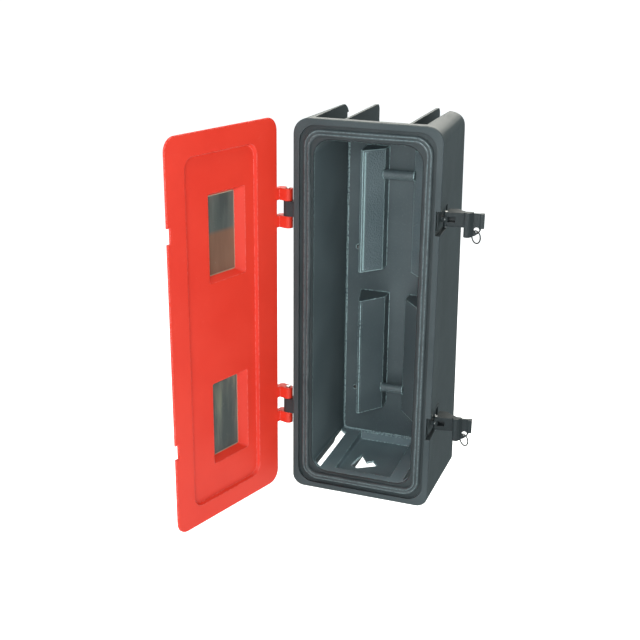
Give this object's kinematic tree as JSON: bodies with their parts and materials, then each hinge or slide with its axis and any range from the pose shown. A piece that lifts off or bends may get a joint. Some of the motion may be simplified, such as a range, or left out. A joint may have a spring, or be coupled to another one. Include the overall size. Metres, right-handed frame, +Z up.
{
  "type": "fire extinguisher cabinet",
  "caption": "Moulded wall cabinet for a fire extinguisher: open-front black box with a cradle inside, red side-hinged door with see-through windows and hook latches with seal rings.",
  "frame": {"origin": "middle of the flat rear panel, on the face that goes against the wall", "axes": "+Y out of the rear face into the wall, the open front faces -Y, +Z up, +X toward the latch side"},
  "size_m": [0.45, 0.4576, 0.7],
  "materials": {
    "body_black": "satin, lightly textured on the upper cradle ridges",
    "latch_black": "satin",
    "door_red": "satin",
    "rubber": "matt",
    "steel": "zinc plated",
    "dark_steel": "dark plated",
    "clear_pane": "smoked clear sheet"
  },
  "bodies": {
    "cabinet": {"cabinet_body": "body_black", "door_seal": "rubber", "strap_bar_upper": "body_black", "strap_bar_lower": "body_black", "hinge_pin_upper": "steel", "hinge_pin_lower": "steel", "latch_bracket_upper": "latch_black", "latch_bracket_lower": "latch_black", "latch_pin_upper": "steel", "latch_pin_lower": "steel", "latch_screw_upper_front": "steel", "latch_screw_upper_rear": "steel", "latch_screw_lower_front": "steel", "latch_screw_lower_rear": "steel"},
    "door": {"door_panel": "door_red", "window_pane_upper": "clear_pane", "window_pane_lower": "clear_pane"},
    "latch_upper": {"latch_lever_upper": "latch_black"},
    "ring_upper": {"seal_ring_upper": "dark_steel"},
    "latch_lower": {"latch_lever_lower": "latch_black"},
    "ring_lower": {"seal_ring_lower": "dark_steel"}
  },
  "joints": [
    {"name": "door_hinge", "type": "hinge", "parent": "cabinet", "child": "door", "pos_m": [-0.146, -0.192, 0], "axis": [0, 0, 1], "range_deg": [-70, 108]},
    {"name": "latch_upper_hinge", "type": "hinge", "parent": "cabinet", "child": "latch_upper", "pos_m": [0.135, -0.179, 0.1915], "axis": [0, 0, 1], "range_deg": [-98, 10]},
    {"name": "ring_upper_swing", "type": "hinge", "parent": "latch_upper", "child": "ring_upper", "pos_m": [0.18699, -0.17169, 0.1737], "axis": [0.7986, -0.6018, 0], "range_deg": [-14, 14]},
    {"name": "latch_lower_hinge", "type": "hinge", "parent": "cabinet", "child": "latch_lower", "pos_m": [0.135, -0.179, -0.188], "axis": [0, 0, 1], "range_deg": [-98, 10]},
    {"name": "ring_lower_swing", "type": "hinge", "parent": "latch_lower", "child": "ring_lower", "pos_m": [0.18699, -0.17169, -0.2058], "axis": [0.7986, -0.6018, 0], "range_deg": [-14, 14]}
  ]
}
